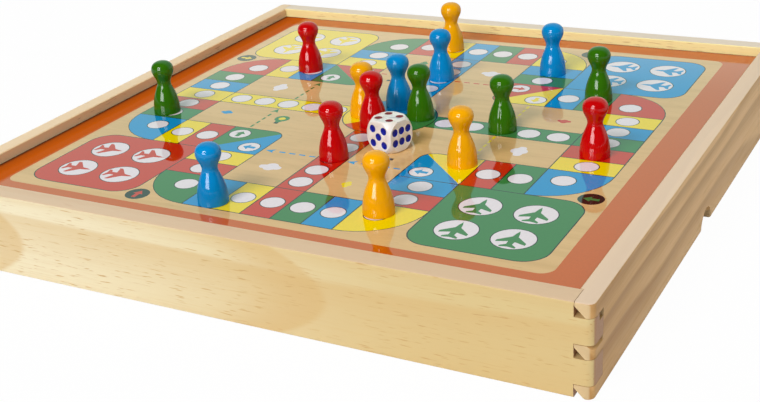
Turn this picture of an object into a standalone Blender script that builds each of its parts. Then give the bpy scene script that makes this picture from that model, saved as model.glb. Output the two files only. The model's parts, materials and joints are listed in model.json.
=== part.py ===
"""Race-game box with its playing pieces.

A shallow pine frame with interlocking corner joints holds the playing board in grooves near its top
edge, and a thin sliding base in grooves near its underside, with a storage room between them. Sixteen
turned pawns and one die stand on the board. Metres, +Z up. The origin is the middle of the frame's
underside, -Y is the front, and the base slides out at the left, -X, pushed by a fingertip through the
notch in the right wall.
"""

import math

import bmesh
import bpy
from mathutils import Matrix, Vector

MM = 0.001

# Frame
box_width = 290 * MM
box_depth = 290 * MM
box_height = 35.5 * MM
long_wall_thickness = 9.5 * MM
side_wall_thickness = 8 * MM
corner_radius = 2.8 * MM
outer_edge_radius = 0.9 * MM
inner_edge_chamfer = 0.4 * MM
glue_gap = 0.15 * MM

# Corner joints: the front and back walls have fingers, the side walls have clipped pins between them,
# and a small shoulder on the pins' inner side
finger_count = 2
finger_height = 9.7 * MM
pin_shoulder = 1.4 * MM
pin_clip_width = 3.9 * MM
pin_clip_height = 4.0 * MM
pin_nick_width = 2.6 * MM
pin_nick_height = 2.0 * MM

# Playing board in its grooves, and the laminated sheet on it
playing_recess = 4.5 * MM
sheet_thickness = 0.4 * MM
sheet_clearance = 0.3 * MM
board_thickness = 3 * MM
board_groove_depth = 4 * MM
board_end_clearance = 0.5 * MM

# Sliding base, its grooves, and the notch that a fingertip pushes it through
base_recess = 4.5 * MM
base_thickness = 3 * MM
base_clearance = 0.3 * MM
base_groove_depth = 4 * MM
base_setback = 0.5 * MM
notch_radius = 8 * MM

# Pawns: the belly and shoulder heights are what the curve of the body reaches for
pawn_height = 25.2 * MM
pawn_base_diameter = 12.6 * MM
pawn_foot_diameter = 11.7 * MM
pawn_foot_height = 1.1 * MM
pawn_belly_height = 9.3 * MM
pawn_shoulder_height = 12.2 * MM
pawn_waist_diameter = 6.4 * MM
pawn_waist_height = 14.5 * MM
pawn_head_diameter = 10.5 * MM
pawn_head_middle = 21 * MM
pawn_crown_fullness = 0.86
stand_gap = 0.15 * MM

# Die
die_size = 14 * MM
die_edge_radius = 0.5 * MM
die_ball_diameter = 19.7 * MM
pip_diameter = 3.4 * MM
single_pip_diameter = 4.8 * MM
pip_depth = 0.45 * MM
pip_spread = 3.2 * MM
six_row_spread = 4 * MM
six_column_spread = 2.4 * MM
die_turn = math.radians(-17)

# Where the pieces stand, in columns and rows of the printed cells from the middle of the board
cells_across = 17
print_margin = 28.55 * MM
die_place = (1.31, -2.55)
pawn_places = {
    "red": [(-5.17, 3.67), (0.01, -3.87), (-0.16, -0.87), (7.44, -1.08)],
    "green": [(-7.71, -1.99), (1.01, 0.27), (4.01, 0.06), (5.97, 3.73)],
    "blue": [(-1.66, -8.07), (-0.15, 1.04), (-0.01, 4.17), (3.56, 5.91)],
    "yellow": [(3.22, -7.07), (3.96, -3.01), (-1.11, 7.55), (-0.93, -0.09)],
}

# Facets of round shapes
pawn_sides = 20
body_steps = 6
head_steps = 5
crown_steps = 4
corner_facets = 4
notch_facets = 24
die_ball_facets = 24
pip_facets = 12

# Colours
pine = (0.80, 0.66, 0.44, 1)
plywood = (0.72, 0.56, 0.36, 1)
printed_sheet = (0.60, 0.22, 0.05, 1)
lacquers = {
    "red": (0.52, 0.006, 0.010, 1),
    "green": (0.03, 0.14, 0.012, 1),
    "blue": (0.006, 0.17, 0.45, 1),
    "yellow": (0.80, 0.33, 0.006, 1),
}
ivory_plastic = (0.85, 0.80, 0.72, 1)

# Half widths and heights that follow from the sizes above
half_width = box_width / 2
half_depth = box_depth / 2
inner_x = half_width - side_wall_thickness
inner_y = half_depth - long_wall_thickness
pin_inner_x = inner_x + pin_shoulder
cell_width = (box_width - 2 * print_margin) / cells_across
cell_depth = (box_depth - 2 * print_margin) / cells_across
pin_height = (box_height - finger_count * finger_height) / (finger_count + 1)
joint_pitch = finger_height + pin_height
sheet_top = box_height - playing_recess
sheet_bottom = sheet_top - sheet_thickness
board_top = sheet_bottom - glue_gap
board_bottom = board_top - board_thickness
base_bottom = base_recess
base_top = base_bottom + base_thickness
overcut = 2 * MM


def clear_scene():
    for obj in list(bpy.data.objects):
        bpy.data.objects.remove(obj, do_unlink=True)


def new_collection(name):
    made = bpy.data.collections.new(name)
    bpy.context.scene.collection.children.link(made)
    return made


def new_material(name, colour, roughness):
    made = bpy.data.materials.new(name)
    made.use_nodes = True
    shader = made.node_tree.nodes["Principled BSDF"]
    shader.inputs["Base Color"].default_value = colour
    shader.inputs["Roughness"].default_value = roughness
    shader.inputs["Metallic"].default_value = 0
    made.diffuse_color = colour
    return made


def mesh_from(name, *steps):
    """A mesh that each step, a function of the bmesh, adds to."""
    bm = bmesh.new()
    for step in steps:
        step(bm)
    mesh = bpy.data.meshes.new(name)
    bm.to_mesh(mesh)
    bm.free()
    return mesh


def block(corner, opposite):
    """A step that adds a box between two opposite corners."""

    def add(bm):
        low = Vector(map(min, corner, opposite))
        high = Vector(map(max, corner, opposite))
        place = Matrix.Translation((low + high) / 2) @ Matrix.Diagonal((*(high - low), 1))
        bmesh.ops.create_cube(bm, size=1, matrix=place)

    return add


def prism(outline, start, end):
    """A step that adds a prism along Y, with an outline of (x, z) points."""

    def add(bm):
        ring = [bm.verts.new((x, start, z)) for x, z in outline]
        face = bm.faces.new(ring)
        pulled = bmesh.ops.extrude_face_region(bm, geom=[face])["geom"]
        moved = [item for item in pulled if isinstance(item, bmesh.types.BMVert)]
        bmesh.ops.translate(bm, verts=moved, vec=(0, end - start, 0))
        bmesh.ops.recalc_face_normals(bm, faces=bm.faces)

    return add


def drum(radius, length, facets, matrix):
    """A step that adds a closed cylinder along the matrix's Z."""

    def add(bm):
        bmesh.ops.create_cone(
            bm, cap_ends=True, segments=facets, radius1=radius, radius2=radius, depth=length, matrix=matrix
        )

    return add


def new_object(name, mesh, group, material=None):
    made = bpy.data.objects.new(name, mesh)
    group.objects.link(made)
    if material and not mesh.materials:
        mesh.materials.append(material)
    return made


def new_cutter(name, *steps):
    made = new_object(name, mesh_from(name, *steps), cutters)
    made.display_type = "WIRE"
    made.hide_render = True
    return made


def boolean(target, tool, operation="DIFFERENCE"):
    step = target.modifiers.new(tool.name, "BOOLEAN")
    step.object = tool
    step.operation = operation
    step.solver = "EXACT"


def fingers():
    """The lowest and highest Z of each finger of the front and back walls."""
    return [(pin_height + n * joint_pitch, (n + 1) * joint_pitch) for n in range(finger_count)]


def pins():
    """The lowest and highest Z of each pin of the side walls, which lie above and below the fingers."""
    return [(n * joint_pitch, n * joint_pitch + pin_height) for n in range(finger_count + 1)]


def outer_envelope():
    """The whole frame's outside, with rounded corners and edges, that every wall is trimmed to."""

    def round_edges(bm):
        def along_z(edge):
            return abs(edge.verts[0].co.z - edge.verts[1].co.z) > box_height / 2

        upright = [edge for edge in bm.edges if along_z(edge)]
        bmesh.ops.bevel(
            bm, geom=upright, offset=corner_radius, segments=corner_facets, profile=0.5, affect="EDGES"
        )
        level = [edge for edge in bm.edges if not along_z(edge)]
        rims = [edge for edge in level if len({round(face.normal.z) for face in edge.link_faces}) == 2]
        bmesh.ops.bevel(bm, geom=rims, offset=outer_edge_radius, segments=2, profile=0.5, affect="EDGES")

    low = (-half_width, -half_depth, 0)
    high = (half_width, half_depth, box_height)
    return new_cutter("frame_envelope", block(low, high), lambda bm: bm.normal_update(), round_edges)


def rim_flare():
    """A blunt pyramid that chamfers the frame's inner top edges."""

    def spread(bm):
        for vert in bm.verts:
            up = vert.co.z > 0
            reach = inner_edge_chamfer + (overcut if up else -inner_edge_chamfer)
            vert.co.x *= inner_x + reach
            vert.co.y *= inner_y + reach
            vert.co.z = box_height + (overcut if up else -inner_edge_chamfer)

    return new_cutter("rim_flare", block((-1, -1, -1), (1, 1, 1)), spread)


def finger_sockets():
    """The room that the front and back walls' fingers take from both ends of the side walls."""
    steps = []
    for side in (-1, 1):
        for end in (-1, 1):
            for low, high in fingers():
                inner = (side * (inner_x - overcut), end * (inner_y - glue_gap), low - glue_gap)
                outer = (side * (half_width + 2 * overcut), end * (half_depth + 2 * overcut), high + glue_gap)
                steps.append(block(inner, outer))
    return new_cutter("finger_sockets", *steps)


def pin_shoulders():
    """The strips that the front and back walls' inner corners take from the inside of the pins."""
    steps = []
    for side in (-1, 1):
        for end in (-1, 1):
            inner = (side * (inner_x - overcut), end * (inner_y - glue_gap), -2 * overcut)
            outer = (side * pin_inner_x, end * (half_depth + 2 * overcut), box_height + 2 * overcut)
            steps.append(block(inner, outer))
    return new_cutter("pin_shoulders", *steps)


def pin_sockets():
    """The room that the side walls' pins take from both ends of the front and back walls.

    The left wall stops above the sliding base, so it has no pin at the bottom.
    """
    steps = []
    for side in (-1, 1):
        for low, high in pins()[1 if side < 0 else 0:]:
            low = low if low > 0 else -2 * overcut
            high = high if high < box_height - glue_gap else box_height + 2 * overcut
            inner = (side * (pin_inner_x - glue_gap), half_depth + 2 * overcut, low)
            outer = (side * (half_width + 2 * overcut), -half_depth - 2 * overcut, high)
            steps.append(block(inner, outer))
    return new_cutter("pin_sockets", *steps)


def pin_clips():
    """The wedges that are missing from the pins, which leave dark triangles at each corner.

    Every pin lacks its inner lower corner, and each pin between two fingers its outer upper one too.
    """
    steps = []
    for side in (-1, 1):
        for end in (-1, 1):
            reach = (end * (half_depth + 2 * overcut), end * (inner_y + glue_gap))
            for number, (low, high) in enumerate(pins()):
                inner, foot = side * (pin_inner_x - overcut), low - overcut
                lean = pin_clip_width / pin_clip_height
                clip = [
                    (inner, foot),
                    (side * (pin_inner_x + pin_clip_width + overcut * lean), foot),
                    (side * pin_inner_x, low + pin_clip_height),
                    (inner, low + pin_clip_height),
                ]
                steps.append(prism(clip, *reach))
                if 0 < number < finger_count:
                    rise = pin_nick_height / pin_nick_width
                    nick = [
                        (side * (half_width - pin_nick_width), high),
                        (side * (half_width - pin_nick_width), high + overcut),
                        (side * (half_width + overcut), high + overcut),
                        (side * (half_width + overcut), high - pin_nick_height - overcut * rise),
                    ]
                    steps.append(prism(nick, *reach))
    return new_cutter("pin_clips", *steps)


def board_groove(name, reach_x, reach_y):
    """The board and its clearance as one plate, which grooves the walls as far as it reaches."""
    low = (-reach_x, -reach_y, board_bottom - glue_gap)
    high = (reach_x, reach_y, board_top + glue_gap)
    return new_cutter(name, block(low, high))


def base_groove():
    """The groove for the sliding base: open at the left end and stopped inside the right wall."""
    low = (-half_width - 2 * overcut, -inner_y - base_groove_depth, base_bottom - base_clearance)
    high = (inner_x + base_groove_depth, inner_y + base_groove_depth, base_top + base_clearance)
    return new_cutter("base_groove", block(low, high))


def base_doorway():
    """The strip below the left wall that the base slides out through."""
    low = (-half_width - 2 * overcut, -half_depth - 2 * overcut, -2 * overcut)
    high = (-inner_x + overcut, half_depth + 2 * overcut, base_top + base_clearance)
    return new_cutter("base_doorway", block(low, high))


def finger_notch():
    """A half-round notch through the right wall, centred on its bottom edge."""
    middle = half_width - side_wall_thickness / 2
    across = Matrix.Translation((middle, 0, 0)) @ Matrix.Rotation(math.pi / 2, 4, "Y")
    length = side_wall_thickness + 2 * overcut
    return new_cutter("finger_notch", drum(notch_radius, length, notch_facets, across))


def make_walls(group):
    """The four walls, each cut from a rough plank and trimmed to the rounded envelope."""
    envelope, flare = outer_envelope(), rim_flare()
    for_fingers, shoulders, for_pins, clips = finger_sockets(), pin_shoulders(), pin_sockets(), pin_clips()
    far_x, far_y = half_width + 2 * overcut, half_depth + 2 * overcut
    long_groove = board_groove("board_groove_ends", far_x, inner_y + board_groove_depth)
    cross_groove = board_groove("board_groove_sides", inner_x + board_groove_depth, far_y)
    lower_groove, doorway, notch = base_groove(), base_doorway(), finger_notch()
    wide, deep = half_width + overcut, half_depth + overcut
    top, bottom = box_height + overcut, -overcut
    planks = {
        "front_wall": ((-wide, -deep, bottom), (wide, -inner_y, top), [for_pins, long_groove, lower_groove]),
        "back_wall": ((-wide, inner_y, bottom), (wide, deep, top), [for_pins, long_groove, lower_groove]),
        "left_wall": (
            (-wide, -deep, bottom),
            (-inner_x, deep, top),
            [for_fingers, shoulders, clips, cross_groove, doorway],
        ),
        "right_wall": (
            (inner_x, -deep, bottom),
            (wide, deep, top),
            [for_fingers, shoulders, clips, cross_groove, lower_groove, notch],
        ),
    }
    for name, (low, high, cuts) in planks.items():
        wall = new_object(name, mesh_from(name, block(low, high)), group, new_material(name, pine, 0.55))
        boolean(wall, envelope, "INTERSECT")
        for tool in cuts + [flare]:
            boolean(wall, tool)


def make_board(group):
    """The fixed playing board, which reaches into the grooves of all four walls."""
    reach_x = inner_x + board_groove_depth - board_end_clearance
    reach_y = inner_y + board_groove_depth - board_end_clearance
    plate = block((-reach_x, -reach_y, board_bottom), (reach_x, reach_y, board_top))
    finish = new_material("board_panel", plywood, 0.6)
    new_object("board_panel", mesh_from("board_panel", plate), group, finish)


def make_sheet(group):
    """The printed and laminated sheet on the board, inside the walls."""
    reach_x, reach_y = inner_x - sheet_clearance, inner_y - sheet_clearance
    sheet = block((-reach_x, -reach_y, sheet_bottom), (reach_x, reach_y, sheet_top))
    finish = new_material("playing_sheet", printed_sheet, 0.12)
    new_object("playing_sheet", mesh_from("playing_sheet", sheet), group, finish)


def make_base(group):
    """The sliding base, whose left edge lies just inside the outer face of the left wall."""
    reach_y = inner_y + base_groove_depth - base_clearance
    low = (-half_width + base_setback, -reach_y, base_bottom)
    high = (inner_x + base_groove_depth - base_clearance, reach_y, base_top)
    finish = new_material("sliding_base", plywood, 0.6)
    new_object("sliding_base", mesh_from("sliding_base", block(low, high)), group, finish)


def bezier(points, steps):
    """Evenly spaced points of a cubic curve, without its first one."""
    made = []
    for n in range(1, steps + 1):
        t = n / steps
        shares = ((1 - t) ** 3, 3 * t * (1 - t) ** 2, 3 * t * t * (1 - t), t**3)
        made.append(tuple(sum(s * p[axis] for s, p in zip(shares, points)) for axis in (0, 1)))
    return made


def pawn_outline():
    """Radius and height of the turned outline, from the crown down to the middle of the foot."""
    head, waist = pawn_head_diameter / 2, pawn_waist_diameter / 2
    base, foot = pawn_base_diameter / 2, pawn_foot_diameter / 2
    outline = [(0, pawn_height)]
    for n in range(1, crown_steps + 1):
        angle = math.pi / 2 * n / crown_steps
        full = math.sin(angle) ** pawn_crown_fullness
        rise = max(math.cos(angle), 0) ** pawn_crown_fullness
        outline.append((head * full, pawn_head_middle + (pawn_height - pawn_head_middle) * rise))
    for n in range(1, head_steps + 1):
        share = n / head_steps
        radius = waist + (head - waist) * (1 + math.cos(math.pi * share)) / 2
        outline.append((radius, pawn_head_middle + (pawn_waist_height - pawn_head_middle) * share))
    handles = [
        (waist, pawn_waist_height),
        (waist, pawn_shoulder_height),
        (base, pawn_belly_height),
        (base, pawn_foot_height),
    ]
    outline += bezier(handles, body_steps)
    return outline + [(foot, 0), (0, 0)]


def make_pawns(group):
    """Four pawns of each colour, turned from one outline, standing on the sheet."""
    outline = pawn_outline()
    for colour, places in pawn_places.items():
        profile = bpy.data.meshes.new(f"pawn_{colour}")
        links = [(n, n + 1) for n in range(len(outline) - 1)]
        profile.from_pydata([(r, 0, z) for r, z in outline], links, [])
        finish = new_material(f"pawn_{colour}", lacquers[colour], 0.18)
        for number, (column, row) in enumerate(places, 1):
            pawn = new_object(f"pawn_{colour}_{number}", profile, group, finish)
            pawn.location = (column * cell_width, row * cell_depth, sheet_top + stand_gap)
            turning = pawn.modifiers.new("turning", "SCREW")
            turning.steps = turning.render_steps = pawn_sides
            turning.use_merge_vertices = True
            turning.merge_threshold = 0.01 * MM
            turning.use_smooth_shade = True


def pip_places():
    """The pips of each face: the face's outward direction, its own right, and where each pip is."""
    s, row, column = pip_spread, six_row_spread, six_column_spread
    corners = [(-s, -s), (s, -s), (-s, s), (s, s)]
    return [
        ((0, -1, 0), (1, 0, 0), corners + [(0, 0)]),
        ((1, 0, 0), (0, 1, 0), [(x, y) for x in (-row, 0, row) for y in (-column, column)]),
        ((0, 0, 1), (1, 0, 0), corners),
        ((0, 1, 0), (-1, 0, 0), [(-s, -s), (s, s)]),
        ((0, 0, -1), (1, 0, 0), [(-s, -s), (0, 0), (s, s)]),
        ((-1, 0, 0), (0, -1, 0), [(0, 0)]),
    ]


def die_pips():
    """Short drums that sink every pip into its face."""
    steps = []
    for outward, right, places in pip_places():
        outward, right = Vector(outward), Vector(right)
        up = outward.cross(right)
        turn = Matrix((right, up, outward)).transposed().to_4x4()
        across = single_pip_diameter if len(places) == 1 else pip_diameter
        for x, y in places:
            middle = right * x + up * y + outward * (die_size / 2 - pip_depth + overcut / 2)
            steps.append(drum(across / 2, overcut, pip_facets, Matrix.Translation(middle) @ turn))
    return new_cutter("die_pips", *steps)


def make_die(group):
    """A cube with rounded edges, whose corners are ground to a ball, and with sunk pips."""
    half = die_size / 2
    cube = mesh_from("die", block((-half, -half, -half), (half, half, half)))
    die = new_object("die", cube, group, new_material("die", ivory_plastic, 0.3))
    rounding = die.modifiers.new("edges", "BEVEL")
    rounding.width = die_edge_radius
    rounding.segments = 2

    def ball(bm):
        bmesh.ops.create_uvsphere(
            bm, u_segments=die_ball_facets, v_segments=die_ball_facets // 2, radius=die_ball_diameter / 2
        )

    grinding = new_cutter("die_ball", ball)
    sinking = die_pips()
    boolean(die, grinding, "INTERSECT")
    boolean(die, sinking)
    place = (die_place[0] * cell_width, die_place[1] * cell_depth, sheet_top + stand_gap + half)
    for item in (die, grinding, sinking):
        item.location = place
        item.rotation_euler.z = die_turn


def smooth_round_parts(group):
    for obj in group.objects:
        obj.data.shade_smooth()
        obj.data.set_sharp_from_angle(angle=math.radians(30))


clear_scene()
parts = new_collection("race_game_board")
cutters = new_collection("cutters")
make_walls(parts)
make_board(parts)
make_sheet(parts)
make_base(parts)
make_pawns(parts)
make_die(parts)
smooth_round_parts(parts)
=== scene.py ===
"""The looks of a race-game board in a pine box, laid out as an add-on and run as a script."""

import json
import math

import bmesh
import bpy
from bpy.props import FloatProperty, FloatVectorProperty, IntProperty, PointerProperty
from bpy.types import Operator, Panel, PropertyGroup
from mathutils import Matrix, Vector
from mathutils.geometry import delaunay_2d_cdt


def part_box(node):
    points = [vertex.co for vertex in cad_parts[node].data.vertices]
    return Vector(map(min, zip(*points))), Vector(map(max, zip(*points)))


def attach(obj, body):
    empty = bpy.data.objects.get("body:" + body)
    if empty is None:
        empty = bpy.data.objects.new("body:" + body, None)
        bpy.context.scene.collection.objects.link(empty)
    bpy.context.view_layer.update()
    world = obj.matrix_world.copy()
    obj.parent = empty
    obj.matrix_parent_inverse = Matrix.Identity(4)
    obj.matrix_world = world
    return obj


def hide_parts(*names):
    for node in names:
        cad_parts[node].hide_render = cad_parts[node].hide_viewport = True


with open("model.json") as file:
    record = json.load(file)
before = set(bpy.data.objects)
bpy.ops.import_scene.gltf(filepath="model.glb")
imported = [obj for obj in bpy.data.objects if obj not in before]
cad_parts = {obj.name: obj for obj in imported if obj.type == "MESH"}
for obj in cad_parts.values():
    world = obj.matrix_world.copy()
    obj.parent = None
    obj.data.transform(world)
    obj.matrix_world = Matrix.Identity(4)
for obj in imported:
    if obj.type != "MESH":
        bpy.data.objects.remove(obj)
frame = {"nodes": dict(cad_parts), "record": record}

bl_info = {
    "name": "Race Game Board",
    "version": (1, 0, 0),
    "blender": (4, 5, 0),
    "location": "3D View > Sidebar > Game Board",
    "description": "Dresses the pine box, its printed board, the pawns and the die",
    "category": "Add Mesh",
}

MM = 0.001
COLOURS = ("red", "green", "blue", "yellow")
LONG_WALLS = ("front_wall", "back_wall")
SIDE_WALLS = ("left_wall", "right_wall")
PAWNS = [name for name in sorted(frame["nodes"]) if name.startswith("pawn_")]


def colour_setting(label, about, default):
    return FloatVectorProperty(
        name=label, description=about, default=default, size=3, min=0, max=1, subtype="COLOR"
    )


def length_setting(label, about, default):
    return FloatProperty(name=label, description=about, default=default, min=0, unit="LENGTH", precision=5)


def place_setting(label, about, default):
    return FloatVectorProperty(name=label, description=about, default=default, unit="LENGTH")


class WoodSettings(PropertyGroup):
    """Tones and grain of the pine walls and of the thin boards."""

    cream: colour_setting("Cream", "Palest early wood", (0.78, 0.70, 0.495))
    straw: colour_setting("Straw", "Early wood at the front wall's right end", (0.63, 0.49, 0.235))
    honey: colour_setting("Honey", "Late wood of the pale walls", (0.60, 0.40, 0.165))
    tan: colour_setting("Tan", "Early wood of the darker right wall", (0.80, 0.51, 0.225))
    # Umber also paints the shade on upward faces inside the joints.
    umber: colour_setting("Umber", "Right wall's late wood, and inner faces of joints", (0.40, 0.20, 0.062))
    fleck: colour_setting("Fleck", "Short resin marks in the pine", (0.52, 0.31, 0.115))
    long_end: colour_setting("Finger ends", "Cut ends of the long walls' fingers", (0.40, 0.185, 0.115))
    side_end: colour_setting("Pin ends", "Cut ends of the side walls' pins", (0.64, 0.49, 0.28))
    ply: colour_setting("Plywood", "Face of the board and of the sliding base", (0.72, 0.56, 0.36))
    arch_bow: length_setting("Arch bow", "How far the arches of the grain bow along the wall", 12.5 * MM)
    arch_height: length_setting("Arch height", "Half the height of the arches of the grain", 13.5 * MM)
    worn_edge: length_setting("Worn edge", "Softening of the sawn edges of the corner joints", 0.03 * MM)


class PrintSettings(PropertyGroup):
    """Layout and inks of the printed sheet."""

    cell: length_setting("Cell", "Side of one square of the printed grid", 13.7 * MM)
    ground: length_setting("Ground", "Half the width of the wood-tone ground", 122.3 * MM)
    ground_corner: length_setting("Ground corner", "Corner radius of the wood-tone ground", 5.5 * MM)
    line: length_setting("Line", "Width of the printed outlines", 0.50 * MM)
    track_dot: length_setting("Track dot", "Diameter of the white dots on the track", 9.7 * MM)
    yard_dot: length_setting("Yard dot", "Diameter of the white dots in the corner yards", 16.5 * MM)
    start_dot: length_setting("Start dot", "Diameter of the dark start marks", 10.4 * MM)
    hub: length_setting("Hub", "Diameter of the disc in the middle", 43 * MM)
    red: colour_setting("Red ink", "Red of the print", (0.62, 0.014, 0.004))
    green: colour_setting("Green ink", "Green of the print", (0.045, 0.21, 0.05))
    blue: colour_setting("Blue ink", "Blue of the print", (0.004, 0.28, 0.63))
    yellow: colour_setting("Yellow ink", "Yellow of the print", (0.92, 0.69, 0.0))
    orange: colour_setting("Border ink", "Orange of the border", (0.62, 0.11, 0.003))
    paper: colour_setting("Paper", "Unprinted white of the dots", (0.86, 0.77, 0.81))
    ink_line: colour_setting("Outline ink", "Dark outlines", (0.012, 0.008, 0.010))
    # The mark ink also colours the painted shade of the print along the walls.
    dark_ink_and_shade: colour_setting("Mark ink", "Dark start marks", (0.016, 0.014, 0.010))
    ground_tone: colour_setting("Ground tone", "Printed wood tone", (0.76, 0.475, 0.20))
    ground_shade: colour_setting("Ground shade", "Flecks of the printed wood tone", (0.58, 0.345, 0.12))


class PawnSettings(PropertyGroup):
    """Turned outline and lacquers of the pawns."""

    waist: length_setting("Waist", "Diameter of the neck", 6.4 * MM)
    waist_height: length_setting("Waist height", "Height of the neck", 14.5 * MM)
    head: length_setting("Head", "Diameter of the head", 10.5 * MM)
    head_middle: length_setting("Head middle", "Height of the widest part of the head", 21 * MM)
    shoulder_height: length_setting("Shoulder", "Height that the body's upper curve reaches for", 12.2 * MM)
    belly_height: length_setting("Belly", "Height that the lower curve of the body reaches for", 9.3 * MM)
    foot_height: length_setting("Foot height", "Height of the rounded foot", 0.5 * MM)
    foot_inset: length_setting("Foot inset", "How far the foot's edge is rounded in", 0.12 * MM)
    crown_fullness: FloatProperty(name="Crown", description="How full the top of the head is", default=0.86)
    settle: length_setting("Settle", "How far the pawns sink towards the sheet", 0.12 * MM)
    sides: IntProperty(name="Sides", description="Facets round a pawn", default=64, min=12)
    red: colour_setting("Red lacquer", "Lacquer of the red pawns", (0.56, 0.001, 0.002))
    green: colour_setting("Green lacquer", "Lacquer of the green pawns", (0.030, 0.150, 0.002))
    blue: colour_setting("Blue lacquer", "Lacquer of the blue pawns", (0.001, 0.25, 0.61))
    yellow: colour_setting("Yellow lacquer", "Lacquer of the yellow pawns", (0.90, 0.40, 0.001))


class DieSettings(PropertyGroup):
    """Sizes and colours of the die."""

    edge: length_setting("Edge radius", "Rounding of the edges", 0.5 * MM)
    ball: length_setting("Ball", "Diameter of the ball that rounds the corners", 19.7 * MM)
    pip: length_setting("Pip", "Diameter of a pip", 3.4 * MM)
    single_pip: length_setting("Single pip", "Diameter of the pip of the one", 4.8 * MM)
    pip_depth: length_setting("Pip depth", "Depth of a pip", 0.45 * MM)
    pip_spread: length_setting("Pip spread", "Distance of corner pips from the face's middle lines", 3.2 * MM)
    six_row: length_setting("Six row", "Spacing of the pips along the rows of the six", 4.0 * MM)
    six_column: length_setting("Six column", "Distance of the rows of the six from the middle", 2.4 * MM)
    ivory: colour_setting("Ivory", "Body of the die", (0.90, 0.86, 0.82))
    blue: colour_setting("Blue paint", "Paint of the two, three, five and six", (0.004, 0.012, 0.30))
    red: colour_setting("Red paint", "Paint of the one and four", (0.20, 0.006, 0.014))


class StageSettings(PropertyGroup):
    """Camera, lamps and floor."""

    eye: place_setting("Camera", "Where the camera stands", (0.25604, -0.48576, 0.23064))
    aim: FloatVectorProperty(
        name="Aim", description="Turn of the camera", default=(1.17038, 0.06529, 0.49992), subtype="EULER"
    )
    lens: FloatProperty(name="Lens", description="Focal length in millimetres", default=60.31)
    shift_x: FloatProperty(name="Shift across", description="Sideways shift of the picture", default=0.0478)
    shift_y: FloatProperty(name="Shift up", description="Upward shift of the picture", default=-0.0218)
    sky: FloatProperty(name="Sky", description="Light from all round", default=0.40)
    sky_lean: FloatProperty(name="Sky lean", description="How much more comes from the right", default=0.12)
    low_tint: colour_setting("Low tint", "What gloss mirrors near the horizon", (0.84, 1.0, 0.86))
    high_tint: colour_setting("High tint", "What gloss mirrors higher up", (0.63, 1.0, 0.88))
    low_glare: FloatProperty(name="Low glare", description="How bright the mirrored horizon is", default=1.28)
    key: FloatProperty(name="Key lamp", description="Watts of the softbox at the front", default=118)
    key_place: place_setting("Key place", "Where the softbox hangs", (-0.32, -3.00, 2.62))
    glow: FloatProperty(name="Low glow", description="Watts of the low panel that gloss mirrors", default=130)
    glow_place: place_setting("Glow place", "Where the low panel stands", (-0.27, -3.86, 1.04))
    dark_side: FloatProperty(name="Dark side", description="What gloss mirrors at the front", default=0.03)
    floor_glow: FloatProperty(name="Floor glow", description="How white the floor looks", default=0.97)


SETTINGS = {
    "board_wood": WoodSettings,
    "board_print": PrintSettings,
    "board_pawns": PawnSettings,
    "board_die": DieSettings,
    "board_stage": StageSettings,
}


class Wire:
    """A shader value. Arithmetic on it adds Math nodes to its material."""

    def __init__(self, finish, socket):
        self.finish, self.socket = finish, socket

    def math(self, operation, *values):
        inputs = dict(enumerate(values))
        return self.finish.node("ShaderNodeMath", {"operation": operation}, inputs)

    def __add__(self, other):
        return self.math("ADD", self, other)

    def __sub__(self, other):
        return self.math("SUBTRACT", self, other)

    def __rsub__(self, other):
        return self.math("SUBTRACT", other, self)

    def __mul__(self, other):
        return self.math("MULTIPLY", self, other)

    def __truediv__(self, other):
        return self.math("DIVIDE", self, other)

    def __pow__(self, other):
        return self.math("POWER", self, other)

    def __abs__(self):
        return self.math("ABSOLUTE", self)

    __radd__ = __add__
    __rmul__ = __mul__

    def fraction(self):
        return self.math("FRACT", self)

    def smaller(self, other):
        return self.math("MINIMUM", self, other)

    def larger(self, other):
        return self.math("MAXIMUM", self, other)

    def ramp(self, low, high, start=0.0, end=1.0):
        """A smooth step from start to end as the value goes from low to high."""
        settings = {"interpolation_type": "SMOOTHSTEP"}
        inputs = {"Value": self, "From Min": low, "From Max": high, "To Min": start, "To Max": end}
        return self.finish.node("ShaderNodeMapRange", settings, inputs)


class Finish:
    """A material under construction, with its Principled shader and the object's own coordinates."""

    def __init__(self, name, **constants):
        self.material = bpy.data.materials.new(name)
        self.material.use_nodes = True
        self.tree = self.material.node_tree
        self.shader = self.tree.nodes["Principled BSDF"]
        for socket, value in constants.items():
            self.shader.inputs[socket.replace("_", " ")].default_value = value

    def node(self, kind, settings=None, inputs=None, output=0):
        """Adds a node, sets it up, feeds its sockets and returns one of its outputs."""
        made = self.tree.nodes.new(kind)
        for key, value in (settings or {}).items():
            setattr(made, key, value)
        for socket, value in (inputs or {}).items():
            if isinstance(value, Wire):
                self.tree.links.new(value.socket, made.inputs[socket])
            else:
                made.inputs[socket].default_value = value
        return Wire(self, made.outputs[output])

    def place(self, scale=(1, 1, 1), shift=(0, 0, 0)):
        """The object's own coordinates, stretched and moved."""
        coordinates = self.node("ShaderNodeTexCoord", output="Object")
        inputs = {"Vector": coordinates, "Scale": scale, "Location": shift}
        return self.node("ShaderNodeMapping", None, inputs)

    def axes(self, vector):
        """The three numbers of a vector."""
        split = self.tree.nodes.new("ShaderNodeSeparateXYZ")
        self.tree.links.new(vector.socket, split.inputs[0])
        return [Wire(self, output) for output in split.outputs]

    def noise(self, scale, stretch=(1, 1, 1), detail=2.0, shift=(0, 0, 0)):
        inputs = {"Vector": self.place(stretch, shift), "Scale": scale, "Detail": detail}
        return self.node("ShaderNodeTexNoise", None, inputs, "Fac")

    def mix(self, share, first, second):
        """Blends two colours."""
        inputs = {0: share, 6: colour_of(first), 7: colour_of(second)}
        return self.node("ShaderNodeMix", {"data_type": "RGBA"}, inputs, 2)

    def feed(self, **links):
        """Links values into the Principled shader."""
        for socket, wire in links.items():
            self.tree.links.new(wire.socket, self.shader.inputs[socket.replace("_", " ")])

    def bump(self, height, strength, distance):
        inputs = {"Height": height, "Strength": strength, "Distance": distance}
        self.feed(Normal=self.node("ShaderNodeBump", None, inputs))


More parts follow.
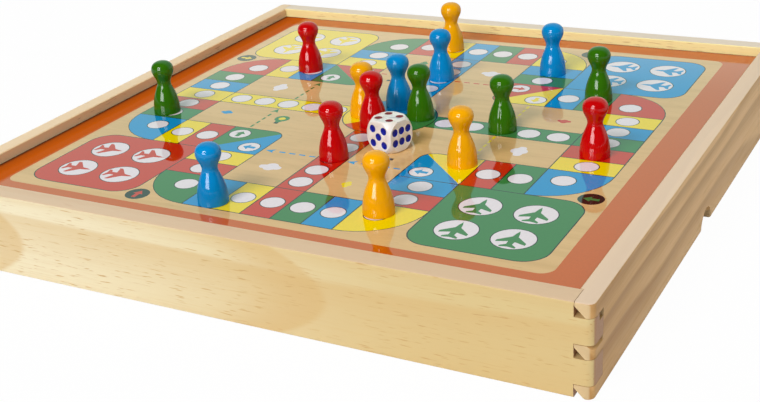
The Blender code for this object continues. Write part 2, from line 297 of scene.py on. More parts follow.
class Sky(Finish):
    """The world under construction, with the same helpers as a material."""

    def __init__(self, name):
        self.world = bpy.data.worlds.new(name)
        self.world.use_nodes = True
        self.tree = self.world.node_tree
        self.shader = self.tree.nodes["Background"]


def colour_of(value):
    return value if isinstance(value, Wire) else (*value, 1)


def settings(name):
    return getattr(bpy.context.scene, name)


class Plank:
    """How one wall's pine looks: the way of its grain, its tones, its pith line and its marks."""

    def __init__(
        self, along_x, tones, rim, pith, spacing, shift,
        flecks=0.6, arches=(), fade=None, sway=0.0, contrast=1.0,
    ):
        self.along_x, self.tones, self.rim, self.pith, self.spacing = along_x, tones, rim, pith, spacing
        self.shift, self.flecks, self.arches, self.fade = shift, flecks, arches, fade
        self.sway, self.contrast = sway, contrast


def pine(name, plank):
    """Pine with growth rings round a pith line along the grain, resin flecks and darker cut ends, painted
    shade in the joints and a painted sheen on the top faces.
    """
    wood = settings("board_wood")
    early, late = plank.tones
    finish = Finish(name, Roughness=0.5, Specular_IOR_Level=0.12, Coat_Weight=0.04, Coat_Roughness=0.3)
    x, y, z = finish.axes(finish.place())
    along, across = (x, y) if plank.along_x else (y, x)

    def grain(scale, squeeze, detail, shift=(0, 0, 0)):
        stretch = (squeeze, 1, 1) if plank.along_x else (1, squeeze, 1)
        return finish.noise(scale, stretch, detail, tuple(map(sum, zip(plank.shift, shift))))

    wander, drift, patches = grain(26, 0.09, 2), grain(7, 0.09, 1), grain(16, 0.09, 2, (3, 0, 0))
    fibre = grain(1500, 0.03, 3)
    from_pith = ((across - plank.pith[0]) ** 2 + (z - plank.pith[1]) ** 2) ** 0.5
    sway = grain(26, 0.35, 1, (5, 0, 0)) * plank.sway
    phase = ((from_pith + wander * (9 * MM) + drift * (26 * MM) + sway) / plank.spacing).fraction()
    late_wood = phase.ramp(0.10, 0.80) * phase.ramp(0.84, 1.0, 1.0, 0.0)
    if plank.fade:
        start, end, faded = plank.fade
        early = finish.mix(along.ramp(start, end), *faded)
    tone = finish.mix(late_wood * patches.ramp(0.3, 0.7, 0.20, 0.60) * plank.contrast, early, late)
    tone = finish.mix(patches.ramp(0.42, 0.75, 0.0, 0.25), tone, late)
    for tip, middle in plank.arches:
        inside = tip - along - ((z - middle) / wood.arch_height) ** 2 * wood.arch_bow + wander * (4 * MM)
        tone = finish.mix(inside.ramp(0, 4.5 * MM) * inside.ramp(6 * MM, 46 * MM, 0.58, 0.0), tone, late)
    tone = finish.mix(fibre.ramp(0.45, 0.8, 0.0, 0.22), tone, late)
    marks = grain(1600, 0.085, 1).ramp(0.60, 0.73)
    slanted = finish.node("ShaderNodeCombineXYZ", None, {0: along * 0.22 + z * 0.5, 1: across, 2: z * 0.35})
    clusters = finish.node("ShaderNodeTexNoise", None, {"Vector": slanted, "Scale": 140, "Detail": 1}, "Fac")
    tone = finish.mix(marks * clusters.ramp(0.39, 0.56) * plank.flecks, tone, wood.fleck)
    facing = finish.axes(finish.node("ShaderNodeTexCoord", output="Normal"))
    cut_end = abs(facing[0 if plank.along_x else 1]).ramp(0.80, 0.95)
    tone = finish.mix(cut_end * 0.75, tone, wood.long_end if plank.along_x else wood.side_end)
    level, top = facing[2].ramp(0.80, 0.98) * 0.8, z.ramp(34.7 * MM, 35.1 * MM)
    # Painted shade: faces that look up but lie below the top, such as the floors of the joints' pits, are
    # mixed part way towards umber, as if shaded.
    tone = finish.mix(level * (1 - top) * 0.5, tone, wood.umber)
    # Painted sheen: the top faces take the wall's own rim tone, standing in for the sheen and light the tops
    # catch.
    tone = finish.mix(level * top, tone, plank.rim)
    finish.feed(Base_Color=tone, Roughness=fibre.ramp(0.3, 0.8, 0.45, 0.60))
    finish.bump(fibre, 0.3, 0.08 * MM)
    return finish.material


def plywood(name, along_x):
    """Thin plain plywood with a faint straight grain."""
    wood = settings("board_wood")
    finish = Finish(name, Roughness=0.7, Specular_IOR_Level=0.25)
    stretch = (0.05, 1, 1) if along_x else (1, 0.05, 1)
    grain = finish.noise(160, stretch, 4.0)
    pores = finish.noise(1800, stretch, 2.0)
    tone = finish.mix(grain.ramp(0.35, 0.7, 0.0, 0.55), wood.ply, wood.umber)
    tone = finish.mix(pores.ramp(0.6, 0.75, 0.0, 0.35), tone, wood.fleck)
    finish.feed(Base_Color=tone, Roughness=pores.ramp(0.3, 0.8, 0.62, 0.78))
    finish.bump(pores, 0.4, 0.06 * MM)
    return finish.material


def laminated_print():
    """Ink read from the sheet's own colours, over a printed wood tone, all under clear gloss laminate, with
    painted shade along the walls.
    """
    inks = settings("board_print")
    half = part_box("playing_sheet")[1]
    finish = Finish(
        "laminated_print", Roughness=0.5, Specular_IOR_Level=0.0,
        Coat_Weight=1.0, Coat_Roughness=0.035, Coat_IOR=1.46,
    )
    attribute = finish.tree.nodes.new("ShaderNodeAttribute")
    attribute.attribute_name = "ink"
    ink, cover = Wire(finish, attribute.outputs["Color"]), Wire(finish, attribute.outputs["Alpha"])
    grain = finish.noise(240, (0.10, 1, 1), 4.0, (0, 0, 2))
    dashes = finish.noise(900, (0.22, 1, 1), 2.0, (3, 0, 0)).ramp(0.60, 0.74, 0.0, 0.5)
    ground = finish.mix(grain.ramp(0.35, 0.75, 0.0, 0.45), inks.ground_tone, inks.ground_shade)
    ground = finish.mix(dashes, ground, inks.ground_shade)
    mottle = finish.noise(900, (1, 1, 1), 3.0).ramp(0.3, 0.7, 0.0, 0.05)
    sideways, deep, _ = finish.axes(finish.place())
    # Painted shade: the ink is mixed towards the dark mark ink within 3 mm of every wall and within 10 mm of
    # the left wall, standing in for the walls' shadow on the sheet.
    to_wall = (half.x - abs(sideways)).smaller(half.y - abs(deep))
    shade = to_wall.ramp(0, 3 * MM, 0.55, 0.0) + sideways.ramp(-half.x, -half.x + 10 * MM, 0.30, 0.0)
    inked_and_shaded = finish.mix(mottle + shade, ink, inks.dark_ink_and_shade)
    finish.feed(
        Base_Color=finish.mix(cover, ground, inked_and_shaded),
        Coat_Weight=sideways.ramp(-inks.ground - 2 * MM, -inks.ground + 2 * MM, 0.06, 1.0),
    )
    finish.bump(finish.noise(130, (1, 1, 1), 1.0), 0.08, 0.05 * MM)
    return finish.material


def lacquer(name, colour):
    """Gloss lacquer over turned wood, a little uneven."""
    finish = Finish(name, Specular_IOR_Level=0.0, Coat_Weight=0.6, Coat_Roughness=0.08)
    turning = finish.noise(900, (1, 1, 2.5), 2.0)
    blotches = finish.noise(110, (1, 1, 0.4), 2.0)
    deeper = tuple(part * 0.85 for part in colour)
    finish.feed(
        Base_Color=finish.mix(blotches.ramp(0.35, 0.7, 0.0, 0.7), colour, deeper),
        Roughness=blotches.ramp(0.3, 0.7, 0.24, 0.34),
    )
    finish.bump(turning + blotches * 1.5, 0.12, 0.05 * MM)
    return finish.material


def die_plastic():
    """Ivory-white plastic with a soft gloss."""
    die = settings("board_die")
    finish = Finish(
        "die_plastic", Specular_IOR_Level=0.5, Coat_Weight=0.3, Coat_Roughness=0.12,
        Subsurface_Weight=0.08, Subsurface_Radius=(0.002, 0.0015, 0.001),
    )
    clouds = finish.noise(160, (1, 1, 1), 3.0)
    deeper = tuple(part * shade for part, shade in zip(die.ivory, (0.95, 0.92, 0.86)))
    finish.feed(
        Base_Color=finish.mix(clouds.ramp(0.35, 0.7), die.ivory, deeper),
        Roughness=clouds.ramp(0.3, 0.7, 0.26, 0.36),
    )
    return finish.material


def pip_paint(name, colour):
    """Enamel paint in the pips, thinner in places."""
    finish = Finish(name, Specular_IOR_Level=0.15, Coat_Weight=0.15, Coat_Roughness=0.1)
    worn = finish.noise(1400, (1, 1, 1), 3.0)
    paler = tuple(min(part * 1.4 + 0.004, 1) for part in colour)
    finish.feed(
        Base_Color=finish.mix(worn.ramp(0.5, 0.8, 0.0, 0.6), colour, paler),
        Roughness=worn.ramp(0.3, 0.7, 0.25, 0.4),
    )
    return finish.material


def deselect_all():
    if bpy.context.object and bpy.context.object.mode != "OBJECT":
        bpy.ops.object.mode_set(mode="OBJECT")
    bpy.ops.object.select_all(action="DESELECT")


def make_active(obj):
    deselect_all()
    obj.select_set(True)
    bpy.context.view_layer.objects.active = obj


def apply_modifiers(obj):
    make_active(obj)
    for modifier in list(obj.modifiers):
        bpy.ops.object.modifier_apply(modifier=modifier.name)


def seat(obj, node):
    """The finished piece rides on its node's body and stands for the node."""
    record = frame["record"]
    body = next(name for name, group in record["behaviour"]["bodies"].items() if node in group)
    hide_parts(node)
    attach(obj, body)


class BOARD_OT_walls(Operator):
    """Dress the four pine walls, with softened joints"""

    bl_idname = "game_board.walls"
    bl_label = "Pine Walls"

    def execute(self, context):
        wood = settings("board_wood")
        # Each wall's rim tone is a painted sheen on its top faces.
        planks = {
            "front_wall": Plank(
                True, (wood.cream, wood.honey), rim=(0.78, 0.56, 0.38), pith=(-105 * MM, 8 * MM),
                spacing=7 * MM, shift=(0.31, 0, 0), flecks=0.85, contrast=1.25,
                arches=((46 * MM, 17.5 * MM), (-95 * MM, 15.5 * MM)),
                fade=(-110 * MM, 110 * MM, (wood.cream, wood.straw)),
            ),
            "back_wall": Plank(
                True, ((0.95, 0.82, 0.39), (0.90, 0.67, 0.25)), rim=(0.85, 0.73, 0.65),
                pith=(190 * MM, 30 * MM), spacing=6 * MM, shift=(1.7, 0, 0.4),
            ),
            # The left wall's tones are its pine raised paler and more orange: partly painted light, standing
            # in for the orange bounce and light on its inner face.
            "left_wall": Plank(
                False, ((1.0, 0.80, 0.49), (0.95, 0.66, 0.34)), rim=(0.92, 0.70, 0.47),
                pith=(-200 * MM, -10 * MM), spacing=6 * MM, shift=(0, 0.9, 2),
            ),
            "right_wall": Plank(
                False, (wood.tan, wood.umber), rim=(0.88, 0.70, 0.53), pith=(100 * MM, -12 * MM),
                spacing=5.6 * MM, shift=(0, 2.3, 1), flecks=0.2, sway=5 * MM, contrast=1.25,
                fade=(-150 * MM, -50 * MM, ((0.66, 0.39, 0.155), wood.tan)),
            ),
        }
        for node, plank in planks.items():
            wall = self.softened_copy(node, wood.worn_edge)
            wall.data.materials.clear()
            wall.data.materials.append(pine(node + "_pine", plank))
            seat(wall, node)
        return {"FINISHED"}

    def softened_copy(self, node, width):
        """A copy of the solid wall with its sawn edges softened and its rounded edges smooth."""
        wall = frame["nodes"][node].copy()
        wall.data = frame["nodes"][node].data.copy()
        wall.name = wall.data.name = node + "_pine"
        for key in list(wall.keys()):
            del wall[key]
        wall.parent = None
        bpy.context.scene.collection.objects.link(wall)
        make_active(wall)
        bpy.ops.object.mode_set(mode="EDIT")
        bpy.ops.mesh.select_all(action="SELECT")
        bpy.ops.mesh.remove_doubles(threshold=0.002 * MM)
        bpy.ops.mesh.dissolve_limited(angle_limit=math.radians(1))
        bpy.ops.mesh.customdata_custom_splitnormals_clear()
        bpy.ops.object.mode_set(mode="OBJECT")
        soften = wall.modifiers.new("soften", "BEVEL")
        soften.width = width
        soften.segments = 2
        soften.limit_method = "ANGLE"
        soften.angle_limit = math.radians(40)
        soften.use_clamp_overlap = True
        apply_modifiers(wall)
        bpy.ops.object.shade_smooth_by_angle(angle=math.radians(50))
        even = wall.modifiers.new("even", "WEIGHTED_NORMAL")
        even.keep_sharp = True
        apply_modifiers(wall)
        return wall


class BOARD_OT_thin_boards(Operator):
    """Give the playing board's panel and the sliding base their plywood"""

    bl_idname = "game_board.thin_boards"
    bl_label = "Thin Boards"

    def execute(self, context):
        for node, along_x in (("board_panel", True), ("sliding_base", False)):
            slots = frame["nodes"][node].data.materials
            slots.clear()
            slots.append(plywood(node + "_ply", along_x))
        return {"FINISHED"}


def turned(points, quarter):
    """Points of the print turned by quarter turns about the middle of the board."""
    for _ in range(quarter):
        points = [(-y, x) for x, y in points]
    return points


def disc(x, y, diameter, steps=40):
    angles = [2 * math.pi * n / steps for n in range(steps)]
    return [(x + diameter / 2 * math.cos(a), y + diameter / 2 * math.sin(a)) for a in angles]


def rounded(low, high, radii=(0, 0, 0, 0), steps=10):
    """A rectangle, with the radius of each corner from the lower left one round counterclockwise."""
    (x0, y0), (x1, y1) = low, high
    corners = [(x0, y0, 1, 1, 180), (x1, y0, -1, 1, 270), (x1, y1, -1, -1, 0), (x0, y1, 1, -1, 90)]
    outline = []
    for (x, y, to_x, to_y, start), radius in zip(corners, radii):
        radius = min(radius, 0.995 * (x1 - x0), 0.995 * (y1 - y0))
        if radius <= 0:
            outline.append((x, y))
            continue
        for n in range(steps + 1):
            angle = math.radians(start + 90 * n / steps)
            middle = (x + to_x * radius, y + to_y * radius)
            outline.append((middle[0] + radius * math.cos(angle), middle[1] + radius * math.sin(angle)))
    return outline


def arrow(x, y, length, width, heading):
    """A short block arrow about a point, with its heading in quarter turns from pointing up."""
    half, wing, shaft, neck = length / 2, width / 2, width * 0.2, length * 0.02
    right_side = [(shaft, -half), (shaft, neck), (wing, neck)]
    left_side = [(-wing, neck), (-shaft, neck)]
    shape = [(-shaft, -half), *right_side, (0, half), *left_side]
    return [(x + px, y + py) for px, py in turned(shape, heading)]


def plane_shape(x, y, size):
    """A plain aeroplane seen from above, pointing to +X."""
    upper = [
        (0.50, 0.0), (0.34, 0.05), (0.16, 0.08), (-0.14, 0.40), (-0.25, 0.40), (-0.14, 0.09),
        (-0.30, 0.08), (-0.41, 0.22), (-0.49, 0.22), (-0.44, 0.0),
    ]
    outline = upper + [(px, -py) for px, py in reversed(upper[1:-1])]
    return [(x + px * size, y + py * size) for px, py in outline]


def cloud(x, y, size):
    """A small cloud of three puffs, as one closed outline."""
    puffs = [
        (-0.28, 0.0, 0.20, 150, 285), (0.0, -0.02, 0.30, 250, 300),
        (0.30, 0.0, 0.18, 255, 395), (0.02, 0.10, 0.27, 20, 165),
    ]
    outline = []
    for px, py, radius, start, end in puffs:
        for n in range(7):
            angle = math.radians(start + (end - start) * n / 6)
            across, up = px + radius * math.cos(angle), py + radius * math.sin(angle)
            outline.append((x + size * across, y + size * up))
    return outline


class PrintLayout:
    """The shapes of the print in painting order: outlines are dark shapes below slightly smaller ones."""

    SPAN = 17
    ROW = ("blue", "yellow", "red", "green", "blue")
    HOME_DOTS = (2.6, 3.57, 4.53, 5.5, 6.45)

    def __init__(self, inks):
        self.inks, self.unit, self.line = inks, inks.cell, inks.line
        self.backs, self.fronts, self.details = [], [], []
        self.quarter = 0

    def at(self, columns, rows):
        """A point in metres from the middle of the board, from cells counted from the lower left."""
        return ((columns - self.SPAN / 2) * self.unit, (rows - self.SPAN / 2) * self.unit)

    def ink(self, colour):
        """The colour that a quarter has where the first quarter has the given one."""
        if colour not in COLOURS:
            return colour
        return COLOURS[(COLOURS.index(colour) + self.quarter) % 4]

    def outlined(self, low, high, colour, radii=(0, 0, 0, 0)):
        """A rectangle of cells with rounded corners and a thin dark outline."""
        (x0, y0), (x1, y1) = self.at(*low), self.at(*high)
        half = self.line / 2
        for grow, shapes, ink in ((half, self.backs, "line"), (-half, self.fronts, self.ink(colour))):
            sizes = [radius * self.unit + grow if radius else 0 for radius in radii]
            outline = rounded((x0 - grow, y0 - grow), (x1 + grow, y1 + grow), sizes)
            shapes.append((ink, turned(outline, self.quarter)))

    def dot(self, column, row, diameter, colour="paper"):
        x, y = self.at(column, row)
        self.details.append(("line", turned(disc(x, y, diameter + 2 * self.line * 0.8), self.quarter)))
        self.details.append((colour, turned(disc(x, y, diameter), self.quarter)))

    def detail(self, colour, outline):
        self.details.append((self.ink(colour), turned(outline, self.quarter)))

    def yard(self):
        self.outlined((0, 0), (4, 4), "red", (0.75, 0.75, 0, 0.75))
        spread = 0.82
        for column in (2 - spread, 2 + spread):
            for row in (2 - spread, 2 + spread):
                self.dot(column, row, self.inks.yard_dot)
                x, y = self.at(column, row)
                self.detail("red", plane_shape(x - 0.3 * MM, y, 14.2 * MM))

    def bottom_row(self):
        self.outlined((4, 0), (6, 2), "green", (2, 0, 0, 0))
        self.dot(6 - 0.72, 2 - 0.72, self.inks.track_dot)
        for number, colour in enumerate(self.ROW):
            self.outlined((6 + number, 0), (7 + number, 2), colour)
            self.dot(6.5 + number, 1, self.inks.track_dot)
        self.outlined((11, 0), (13, 2), "yellow", (0, 2, 0, 0))
        self.dot(11 + 0.72, 2 - 0.72, self.inks.track_dot)

    def arm_sides(self):
        right_upper = "blue" if self.quarter == 0 else "green"
        for column, colours in ((4, ("red", "yellow")), (11, ("red", right_upper))):
            for row, colour in enumerate(colours, 2):
                self.outlined((column, row), (column + 2, row + 1), colour)
                self.dot(column + 1, row + 0.5, self.inks.track_dot)

    def crossing(self):
        """The square between two arms, split along its diagonal, with an arrow in each half."""
        corner = 0.5
        self.outlined((4, 4), (6, 6), "green", (0, 0, corner, 0))
        inset = self.line / self.unit / 2
        edge = 6 - inset
        arc = [math.radians(45 * n / 6) for n in range(7)]
        middle, radius = 6 - corner, corner - inset
        half = [(4 + inset * 2, 4 + inset), (edge, 4 + inset)]
        half += [(middle + radius * math.cos(a), middle + radius * math.sin(a)) for a in arc]
        self.fronts.append((self.ink("blue"), turned([self.at(*point) for point in half], self.quarter)))
        for column, row, colour, heading in ((4.5, 5.45, "green", 0), (5.45, 4.52, "blue", 1)):
            self.dot(column, row, self.inks.track_dot)
            self.detail(colour, arrow(*self.at(column, row), 6.2 * MM, 5.2 * MM, heading))

    def home_path(self):
        self.outlined((8, 2), (9, 7.1), "red")
        for row in self.HOME_DOTS:
            self.dot(8.5, row, self.inks.track_dot)

    def shortcut(self):
        """Two runs of dashes, each with an arrowhead, across the open fields."""
        x = self.at(4.48, 0)[0]
        for start in (-32.5 * MM, 7.8 * MM):
            for number in range(4):
                low = start + number * 5 * MM
                self.detail("green", rounded((x - 0.55 * MM, low), (x + 0.55 * MM, low + 3.1 * MM)))
            tip = start + 25 * MM
            head = [(-2, -4.6), (0, -3.6), (2, -4.6), (0, 0)]
            self.detail("green", [(x + px * MM, tip + py * MM) for px, py in head])

    def start_mark(self):
        x, y = self.at(4.31, 0.13)
        self.details.append(("dark", turned(disc(x, y, self.inks.start_dot), self.quarter)))
        self.detail("red", arrow(x, y, 6.6 * MM, 4.6 * MM, 0))

    def motifs(self):
        """A balloon and a cloud in each open field."""
        x, y = self.at(5.1, 7.15)
        self.detail("line", rounded((x - 1.1 * MM, y - 6.6 * MM), (x + 1.1 * MM, y - 4.8 * MM)))
        neck = [(-2.6, -1.4), (-0.9, -4.9), (0.9, -4.9), (2.6, -1.4)]
        self.detail("green", [(x + px * MM, y + py * MM) for px, py in neck])
        self.detail("green", disc(x, y, 7.2 * MM))
        self.detail("yellow", disc(x, y, 3.4 * MM))
        x, y = self.at(7.0, 3.3)
        self.detail("paper", cloud(x, y, 11 * MM))
        x, y = self.at(2.9, 7.1)
        self.detail("blue", cloud(x, y, 6.5 * MM))

    def hub(self):
        """The disc in the middle, a quarter of it for each colour."""
        for quarter, colour in enumerate(COLOURS):
            arc = [math.radians(225 + 90 * quarter + 90 * n / 12) for n in range(13)]
            reach = self.inks.hub / 2
            sector = [(0, 0)] + [(reach * math.cos(a), reach * math.sin(a)) for a in arc]
            self.details.append((colour, sector))

    def shapes(self):
        ground = self.inks.ground
        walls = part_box("playing_sheet")[1]
        border = rounded((-walls.x, -walls.y), (walls.x, walls.y))
        field = rounded((-ground, -ground), (ground, ground), [self.inks.ground_corner] * 4)
        for self.quarter in range(4):
            self.yard()
            self.bottom_row()
            self.arm_sides()
            self.crossing()
            self.home_path()
            self.shortcut()
            self.start_mark()
            self.motifs()
        rim = [("line", disc(0, 0, self.inks.hub + 2 * self.line, 48))]
        self.details, dots = [], self.details
        self.hub()
        return [("orange", border), ("ground", field)] + self.backs + self.fronts + rim + self.details + dots


class BOARD_OT_playing_sheet(Operator):
    """Lay the printed and laminated sheet"""

    bl_idname = "game_board.playing_sheet"
    bl_label = "Playing Sheet"

    def execute(self, context):
        inks = settings("board_print")
        low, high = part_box("playing_sheet")
        shapes = PrintLayout(inks).shapes()
        points, outlines = [], []
        for _, outline in shapes:
            outlines.append(list(range(len(points), len(points) + len(outline))))
            points += [Vector(point) / MM for point in outline]
        flat, _, faces, _, _, sources = delaunay_2d_cdt(points, [], outlines, 1, 1e-4, True)
        mesh = bpy.data.meshes.new("playing_sheet_print")
        mesh.from_pydata([(p.x * MM, p.y * MM, high.z) for p in flat], [], faces)
        ink = mesh.color_attributes.new("ink", "FLOAT_COLOR", "CORNER")
        tones = {name: (*getattr(inks, name), 1) for name in (*COLOURS, "orange", "paper")}
        tones |= {"line": (*inks.ink_line, 1), "dark": (*inks.dark_ink_and_shade, 1), "ground": (*inks.ground_tone, 0)}
        for face, source in zip(mesh.polygons, sources):
            tone = tones[shapes[max(source)][0]]
            for corner in face.loop_indices:
                ink.data[corner].color = tone
        sheet = bpy.data.objects.new("playing_sheet_print", mesh)
        bpy.context.scene.collection.objects.link(sheet)
        self.add_thickness(sheet, high.z - low.z)
        mesh.materials.append(laminated_print())
        seat(sheet, "playing_sheet")
        return {"FINISHED"}

    def add_thickness(self, sheet, depth):
        """Turns the print to face up, and gives the sheet its edges and its underside."""
        make_active(sheet)
        bpy.ops.object.mode_set(mode="EDIT")
        bpy.ops.mesh.select_all(action="SELECT")
        bpy.ops.mesh.normals_make_consistent(inside=False)
        bpy.ops.object.mode_set(mode="OBJECT")
        if sum(face.normal.z for face in sheet.data.polygons) < 0:
            sheet.data.flip_normals()
        bpy.ops.object.mode_set(mode="EDIT")
        bpy.ops.mesh.select_all(action="SELECT")
        bpy.ops.mesh.region_to_loop()
        bpy.ops.mesh.extrude_edges_move(TRANSFORM_OT_translate={"value": (0, 0, -depth)})
        bpy.ops.mesh.edge_face_add()
        bpy.ops.mesh.select_all(action="DESELECT")
        bpy.ops.object.mode_set(mode="OBJECT")


class BOARD_OT_pawns(Operator):
    """Turn the sixteen pawns and lacquer them"""

    bl_idname = "game_board.pawns"
    bl_label = "Pawns"

    def execute(self, context):
        pawns = settings("board_pawns")
        finishes = {colour: lacquer("lacquer_" + colour, tuple(getattr(pawns, colour))) for colour in COLOURS}
        for node in PAWNS:
            low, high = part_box(node)
            pawn = self.turn_pawn(node + "_turned", pawns, high.z - low.z, (high.x - low.x) / 2)
            middle = (low + high) / 2
            pawn.data.transform(Matrix.Translation((middle.x, middle.y, low.z - pawns.settle)))
            pawn.data.materials.append(finishes[node.split("_")[1]])
            seat(pawn, node)
        return {"FINISHED"}

    def outline(self, pawns, height, base):
        """Radius and height of the turned outline, from the crown down to the foot's middle."""
        head, waist = pawns.head / 2, pawns.waist / 2
        outline = [(0, height)]
        for n in range(1, 13):
            angle = math.pi / 2 * n / 12
            full = math.sin(angle) ** pawns.crown_fullness
            rise = max(math.cos(angle), 0) ** pawns.crown_fullness
            outline.append((head * full, pawns.head_middle + (height - pawns.head_middle) * rise))
        for n in range(1, 15):
            share = n / 14
            radius = waist + (head - waist) * (1 + math.cos(math.pi * share)) / 2
            outline.append((radius, pawns.head_middle + (pawns.waist_height - pawns.head_middle) * share))
        handles = [
            (waist, pawns.waist_height),
            (waist, pawns.shoulder_height),
            (base, pawns.belly_height),
            (base, pawns.foot_height),
        ]
        for n in range(1, 21):
            t = n / 20
            shares = ((1 - t) ** 3, 3 * t * (1 - t) ** 2, 3 * t * t * (1 - t), t**3)
            outline.append(tuple(sum(s * p[axis] for s, p in zip(shares, handles)) for axis in (0, 1)))
        for n in range(1, 6):
            angle = math.pi / 2 * n / 5
            inward = pawns.foot_inset * (1 - math.cos(angle))
            outline.append((base - inward, pawns.foot_height * (1 - math.sin(angle))))
        return outline + [(0, 0)]

    def turn_pawn(self, name, pawns, height, base):
        """Spins the outline into a closed turned body."""
        outline = self.outline(pawns, height, base)
        mesh = bpy.data.meshes.new(name)
        mesh.from_pydata([(r, 0, z) for r, z in outline], [(n, n + 1) for n in range(len(outline) - 1)], [])
        pawn = bpy.data.objects.new(name, mesh)
        bpy.context.scene.collection.objects.link(pawn)
        make_active(pawn)
        bpy.ops.object.mode_set(mode="EDIT")
        bpy.ops.mesh.select_all(action="SELECT")
        bpy.ops.mesh.spin(steps=pawns.sides, angle=2 * math.pi, center=(0, 0, 0), axis=(0, 0, 1))
        bpy.ops.mesh.select_all(action="SELECT")
        bpy.ops.mesh.remove_doubles(threshold=0.005 * MM)
        bpy.ops.mesh.normals_make_consistent(inside=False)
        bpy.ops.object.mode_set(mode="OBJECT")
        bpy.ops.object.shade_smooth_by_angle(angle=math.radians(50))
        return pawn


class BOARD_OT_die(Operator):
    """Model the die with its sunk and painted pips"""

    bl_idname = "game_board.die"
    bl_label = "Die"

    def execute(self, context):
        die = settings("board_die")
        middle, turn, size = self.place()
        deselect_all()
        bpy.ops.mesh.primitive_cube_add(size=size)
        cube = bpy.context.object
        cube.name = cube.data.name = "die_moulded"
        rounding = cube.modifiers.new("edges", "BEVEL")
        rounding.width, rounding.segments = die.edge, 5
        apply_modifiers(cube)
        deselect_all()
        bpy.ops.mesh.primitive_uv_sphere_add(segments=96, ring_count=48, radius=die.ball / 2)
        self.combine(cube, bpy.context.object, "INTERSECT")
        pips = self.pip_places(die)
        tools = []
        for spot, _, across, _ in pips:
            sink = die.pip_depth
            radius = (across**2 / 4 + sink**2) / (2 * sink)
            deselect_all()
            axis = max(range(3), key=lambda index: abs(spot[index]))
            outward = Vector([math.copysign(1, spot[axis]) if index == axis else 0 for index in range(3)])
            bpy.ops.mesh.primitive_uv_sphere_add(
                segments=32, ring_count=24, radius=radius, location=spot + outward * (radius - sink)
            )
            tools.append(bpy.context.object)
        deselect_all()
        for tool in tools:
            tool.select_set(True)
        bpy.context.view_layer.objects.active = tools[0]
        bpy.ops.object.join()
        self.combine(cube, bpy.context.object, "DIFFERENCE")
        cube.data.materials.clear()
        for finish in (die_plastic(), pip_paint("pip_blue", die.blue), pip_paint("pip_red", die.red)):
            cube.data.materials.append(finish)
        self.paint_pips(cube, pips, size)
        make_active(cube)
        bpy.ops.object.shade_smooth_by_angle(angle=math.radians(35))
        cube.data.transform(Matrix.Translation(middle) @ Matrix.Rotation(turn, 4, "Z"))
        seat(cube, "die")
        return {"FINISHED"}

    def place(self):
        """Middle, turn about Z and size of the solid die, read from its upright edges and its height."""
        low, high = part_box("die")
        size = high.z - low.z
        node = frame["nodes"]["die"]
        side = [face for face in node.data.polygons if abs(face.normal.z) < 0.01]
        widest = max(side, key=lambda face: face.area)
        turn = math.atan2(widest.normal.y, widest.normal.x) % (math.pi / 2)
        if turn > math.pi / 4:
            turn -= math.pi / 2
        return (low + high) / 2, turn, size

    def combine(self, target, tool, operation):
        cut = target.modifiers.new(operation.lower(), "BOOLEAN")
        cut.operation, cut.object, cut.solver = operation, tool, "EXACT"
        apply_modifiers(target)
        bpy.data.objects.remove(tool, do_unlink=True)

    def pip_places(self, die):
        """Each pip's middle on its face, its paint and its diameter."""
        low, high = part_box("die")
        half = (high.z - low.z) / 2
        s, row, column = die.pip_spread, die.six_row, die.six_column
        corners = [(-s, -s), (s, -s), (-s, s), (s, s)]
        faces = [
            ((0, -1, 0), (1, 0, 0), corners + [(0, 0)], 1),
            ((1, 0, 0), (0, 1, 0), [(x, y) for x in (-row, 0, row) for y in (-column, column)], 1),
            ((0, 0, 1), (1, 0, 0), corners, 2),
            ((0, 1, 0), (-1, 0, 0), [(-s, -s), (s, s)], 1),
            ((0, 0, -1), (1, 0, 0), [(-s, -s), (0, 0), (s, s)], 1),
            ((-1, 0, 0), (0, -1, 0), [(0, 0)], 2),
        ]
        places = []
        for outward, right, spots, paint in faces:
            outward, right = Vector(outward), Vector(right)
            up = outward.cross(right)
            across = die.single_pip if len(spots) == 1 else die.pip
            for x, y in spots:
                places.append((outward * half + right * x + up * y, paint, across, outward))
        return places

    def paint_pips(self, cube, pips, size):
        """Paints the faces that lie in a pip."""
        for face in cube.data.polygons:
            for spot, paint, across, outward in pips:
                gap = face.center - spot
                depth = -gap.dot(outward)
                aside = (gap + outward * depth).length
                if aside < across / 2 and 0.004 * MM < depth < size / 4 and face.normal.dot(outward) < 0.9999:
                    face.material_index = paint
                elif aside < across * 0.2 and depth > 0.1 * MM and depth < size / 4:
                    face.material_index = paint


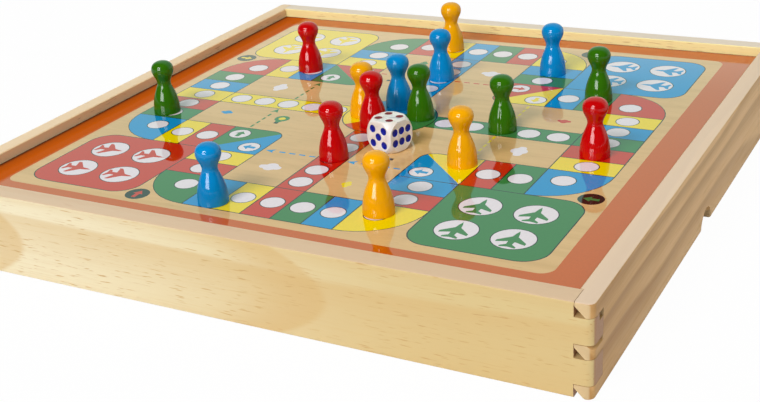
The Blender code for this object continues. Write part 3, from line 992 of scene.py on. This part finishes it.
class BOARD_OT_stage(Operator):
    """Set the floor, the lamps, the sky and the camera"""

    bl_idname = "game_board.stage"
    bl_label = "Stage"

    def execute(self, context):
        stage = settings("board_stage")
        self.lay_floor(stage)
        self.hang_lamp("softbox", stage.key_place, (2.0, 0.75), stage.key)
        panel = self.hang_lamp("low panel", stage.glow_place, (2.2, 1.3), stage.glow)
        panel.visible_diffuse = False
        self.light_sky(stage)
        self.aim_camera(stage)
        context.scene.view_settings.view_transform = "Standard"
        return {"FINISHED"}

    def lay_floor(self, stage):
        """A floor that only the camera and gloss see as glowing white."""
        deselect_all()
        bpy.ops.mesh.primitive_plane_add(size=12)
        floor = bpy.context.object
        floor.name = "floor"
        finish = Finish("floor_white", Base_Color=(0.9, 0.9, 0.9, 1), Roughness=0.9, Specular_IOR_Level=0.0)
        rays = finish.tree.nodes.new("ShaderNodeLightPath")
        seen = Wire(finish, rays.outputs["Is Camera Ray"])
        mirrored = Wire(finish, rays.outputs["Is Glossy Ray"])
        glow = finish.node("ShaderNodeEmission", None, {"Color": (1, 1, 1, 1), "Strength": 1.0})
        plain = Wire(finish, finish.shader.outputs[0])
        inputs = {0: seen.larger(mirrored) * stage.floor_glow, 1: plain, 2: glow}
        blend = finish.node("ShaderNodeMixShader", None, inputs)
        finish.tree.links.new(blend.socket, finish.tree.nodes["Material Output"].inputs["Surface"])
        floor.data.materials.append(finish.material)

    def hang_lamp(self, name, place, size, power):
        """An area lamp that faces the board."""
        lamp = bpy.data.lights.new(name, "AREA")
        lamp.shape, lamp.energy = "RECTANGLE", power
        lamp.size, lamp.size_y = size
        holder = bpy.data.objects.new(name, lamp)
        holder.location = place
        holder.rotation_euler = (-Vector(place)).to_track_quat("-Z", "Y").to_euler()
        bpy.context.scene.collection.objects.link(holder)
        return holder

    def light_sky(self, stage):
        """Plain light, stronger from the right. Gloss mirrors a room that is dark on the camera's side."""
        sky = Sky("studio")
        rays = sky.tree.nodes.new("ShaderNodeLightPath")
        seen, mirrored = (Wire(sky, rays.outputs[name]) for name in ("Is Camera Ray", "Is Glossy Ray"))
        right, back, up = sky.axes(sky.node("ShaderNodeTexCoord", output="Generated"))
        horizon = (0.289, 0.335)
        plain = right * stage.sky_lean + stage.sky
        room = back.ramp(0.10, 0.60, stage.dark_side, 1.0) * up.ramp(*horizon, stage.low_glare, 1.0)
        tint = sky.mix(up.ramp(*horizon), stage.low_tint, stage.high_tint)
        strength = (room - plain) * seen.larger(mirrored) + plain
        sky.feed(Color=sky.mix(mirrored, (1, 1, 1), tint), Strength=strength)
        bpy.context.scene.world = sky.world

    def aim_camera(self, stage):
        data = bpy.data.cameras.new("camera")
        data.lens, data.sensor_width = stage.lens, 36
        data.shift_x, data.shift_y = stage.shift_x, stage.shift_y
        data.clip_start = 0.01
        camera = bpy.data.objects.new("camera", data)
        camera.location, camera.rotation_euler = stage.eye, stage.aim
        bpy.context.scene.collection.objects.link(camera)
        bpy.context.scene.camera = camera


OPERATORS = (
    BOARD_OT_stage,
    BOARD_OT_walls,
    BOARD_OT_thin_boards,
    BOARD_OT_playing_sheet,
    BOARD_OT_pawns,
    BOARD_OT_die,
)


class BOARD_PT_sidebar(Panel):
    """Lists the pieces and their settings"""

    bl_idname = "BOARD_PT_sidebar"
    bl_label = "Race Game Board"
    bl_space_type = "VIEW_3D"
    bl_region_type = "UI"
    bl_category = "Game Board"

    def draw(self, context):
        for name, group in SETTINGS.items():
            box = self.layout.box()
            box.label(text=group.__doc__)
            for key in group.__annotations__:
                box.prop(getattr(context.scene, name), key)
        for operator in OPERATORS:
            self.layout.operator(operator.bl_idname)


CLASSES = (*SETTINGS.values(), *OPERATORS, BOARD_PT_sidebar)


def register():
    for cls in CLASSES:
        bpy.utils.register_class(cls)
    for name, group in SETTINGS.items():
        setattr(bpy.types.Scene, name, PointerProperty(type=group))


def unregister():
    for name in SETTINGS:
        delattr(bpy.types.Scene, name)
    for cls in reversed(CLASSES):
        bpy.utils.unregister_class(cls)


def main():
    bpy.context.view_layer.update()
    register()
    bpy.ops.game_board.stage()
    bpy.ops.game_board.walls()
    bpy.ops.game_board.thin_boards()
    bpy.ops.game_board.playing_sheet()
    bpy.ops.game_board.pawns()
    bpy.ops.game_board.die()


if __name__ == "__main__":
    main()
